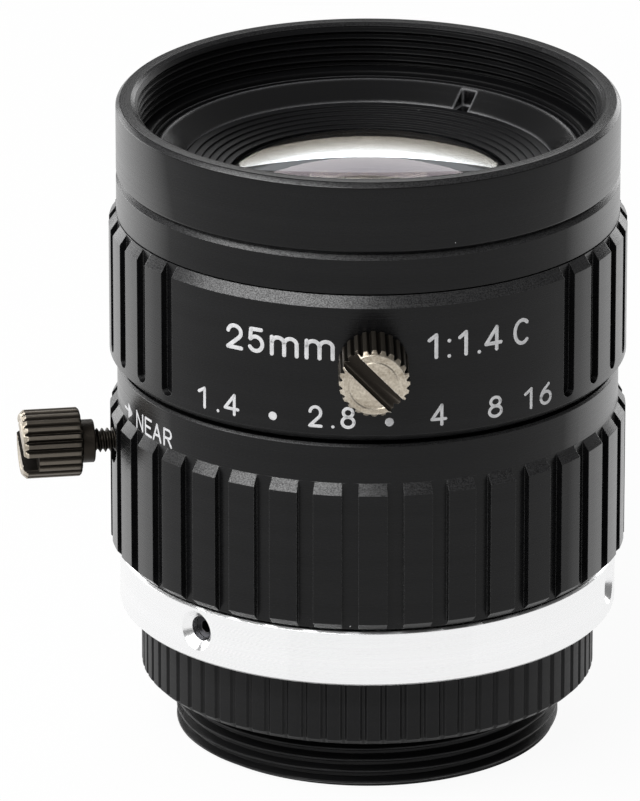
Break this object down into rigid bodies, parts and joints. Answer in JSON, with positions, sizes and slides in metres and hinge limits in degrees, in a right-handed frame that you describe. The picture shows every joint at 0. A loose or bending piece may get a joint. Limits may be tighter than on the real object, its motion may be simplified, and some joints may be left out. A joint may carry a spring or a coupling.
{
  "type": "c-mount machine vision lens",
  "caption": "Fixed focal length machine vision lens with iris ring, focus ring, knurled lock screws, bright base ring, blade iris and a threaded camera mount.",
  "frame": {"origin": "on the optical axis, in the plane of the mounting flange", "axes": "+Z along the optical axis towards the front glass; -Y is the side of the aperture scale; +X lies to the right of it"},
  "size_m": [0.0401, 0.038, 0.0435],
  "materials": {
    "black_anodised": "satin black anodised, turned",
    "matt_black": "matt black anodised",
    "bright_aluminium": "clear anodised, fine turned",
    "black_steel": "black oxide",
    "nickel_brass": "nickel plated, turned and knurled",
    "brass": "turned",
    "blade_steel": "blackened sheet",
    "coated_glass": "polished, coated"
  },
  "bodies": {
    "camera_mount": {"mount_ring": "black_anodised", "base_ring": "bright_aluminium", "clamp_screw_1": "black_steel", "clamp_screw_2": "black_steel", "clamp_screw_3": "black_steel", "guide_key": "brass", "focus_retainer": "black_anodised"},
    "focus": {"focus_ring": "black_anodised"},
    "focus_lock": {"focus_lock_screw": "nickel_brass"},
    "barrel": {"main_barrel": "black_anodised", "front_hood": "black_anodised", "front_retaining_ring": "matt_black", "front_cell": "matt_black", "glass_clamp_ring": "matt_black", "front_element": "coated_glass", "inner_element_front": "coated_glass", "inner_element_stop": "coated_glass", "front_spacer": "matt_black", "iris_housing": "matt_black", "iris_cover": "matt_black", "rear_cell": "matt_black", "rear_element_stop": "coated_glass", "rear_element_middle": "coated_glass", "rear_spacer": "matt_black", "rear_element_inner": "coated_glass", "last_element": "coated_glass", "rear_retaining_ring": "matt_black"},
    "iris": {"iris_ring": "black_anodised", "iris_drive_screw": "brass", "cam_ring": "brass"},
    "iris_lock": {"iris_lock_screw": "nickel_brass"},
    "blade_1": {"iris_blade_1": "blade_steel"},
    "blade_2": {"iris_blade_2": "blade_steel"},
    "blade_3": {"iris_blade_3": "blade_steel"},
    "blade_4": {"iris_blade_4": "blade_steel"},
    "blade_5": {"iris_blade_5": "blade_steel"},
    "blade_6": {"iris_blade_6": "blade_steel"}
  },
  "joints": [
    {"name": "focus_turn", "type": "hinge", "parent": "camera_mount", "child": "focus", "pos_m": [0, 0, 0.015], "axis": [0, 0, 1], "range_deg": [0, 180]},
    {"name": "barrel_slide", "type": "slide", "parent": "camera_mount", "child": "barrel", "axis": [0, 0, 1], "range_m": [0, 0.0023]},
    {"name": "iris_turn", "type": "hinge", "parent": "barrel", "child": "iris", "pos_m": [0, 0, 0.027], "axis": [0, 0, 1], "range_deg": [-41.6, 35.2]},
    {"name": "iris_lock_turn", "type": "hinge", "parent": "iris", "child": "iris_lock", "pos_m": [0.00036, -0.017, 0.0275], "axis": [0.0209, -0.9998, 0], "range_deg": [0, 540]},
    {"name": "focus_lock_turn", "type": "hinge", "parent": "focus", "child": "focus_lock", "pos_m": [-0.01679, -0.00266, 0.01665], "axis": [-0.9877, -0.1564, 0], "range_deg": [-2160, 0]},
    {"name": "blade_1_turn", "type": "hinge", "parent": "barrel", "child": "blade_1", "pos_m": [0.0095, 0, 0.0229], "axis": [0, 0, 1], "range_deg": [-21.25, 17.98]},
    {"name": "blade_2_turn", "type": "hinge", "parent": "barrel", "child": "blade_2", "pos_m": [0.00475, 0.00823, 0.0229], "axis": [0, 0, 1], "range_deg": [-21.25, 17.98]},
    {"name": "blade_3_turn", "type": "hinge", "parent": "barrel", "child": "blade_3", "pos_m": [-0.00475, 0.00823, 0.0229], "axis": [0, 0, 1], "range_deg": [-21.25, 17.98]},
    {"name": "blade_4_turn", "type": "hinge", "parent": "barrel", "child": "blade_4", "pos_m": [-0.0095, 0, 0.0229], "axis": [0, 0, 1], "range_deg": [-21.25, 17.98]},
    {"name": "blade_5_turn", "type": "hinge", "parent": "barrel", "child": "blade_5", "pos_m": [-0.00475, -0.00823, 0.0229], "axis": [0, 0, 1], "range_deg": [-21.25, 17.98]},
    {"name": "blade_6_turn", "type": "hinge", "parent": "barrel", "child": "blade_6", "pos_m": [0.00475, -0.00823, 0.0229], "axis": [0, 0, 1], "range_deg": [-21.25, 17.98]}
  ],
  "couplings": [
    {"joint": "focus_turn", "follows": "barrel_slide", "rad_per_m": 1365.9},
    {"joint": "blade_1_turn", "follows": "iris_turn", "ratio": 0.51042},
    {"joint": "blade_2_turn", "follows": "iris_turn", "ratio": 0.51042},
    {"joint": "blade_3_turn", "follows": "iris_turn", "ratio": 0.51042},
    {"joint": "blade_4_turn", "follows": "iris_turn", "ratio": 0.51042},
    {"joint": "blade_5_turn", "follows": "iris_turn", "ratio": 0.51042},
    {"joint": "blade_6_turn", "follows": "iris_turn", "ratio": 0.51042}
  ]
}
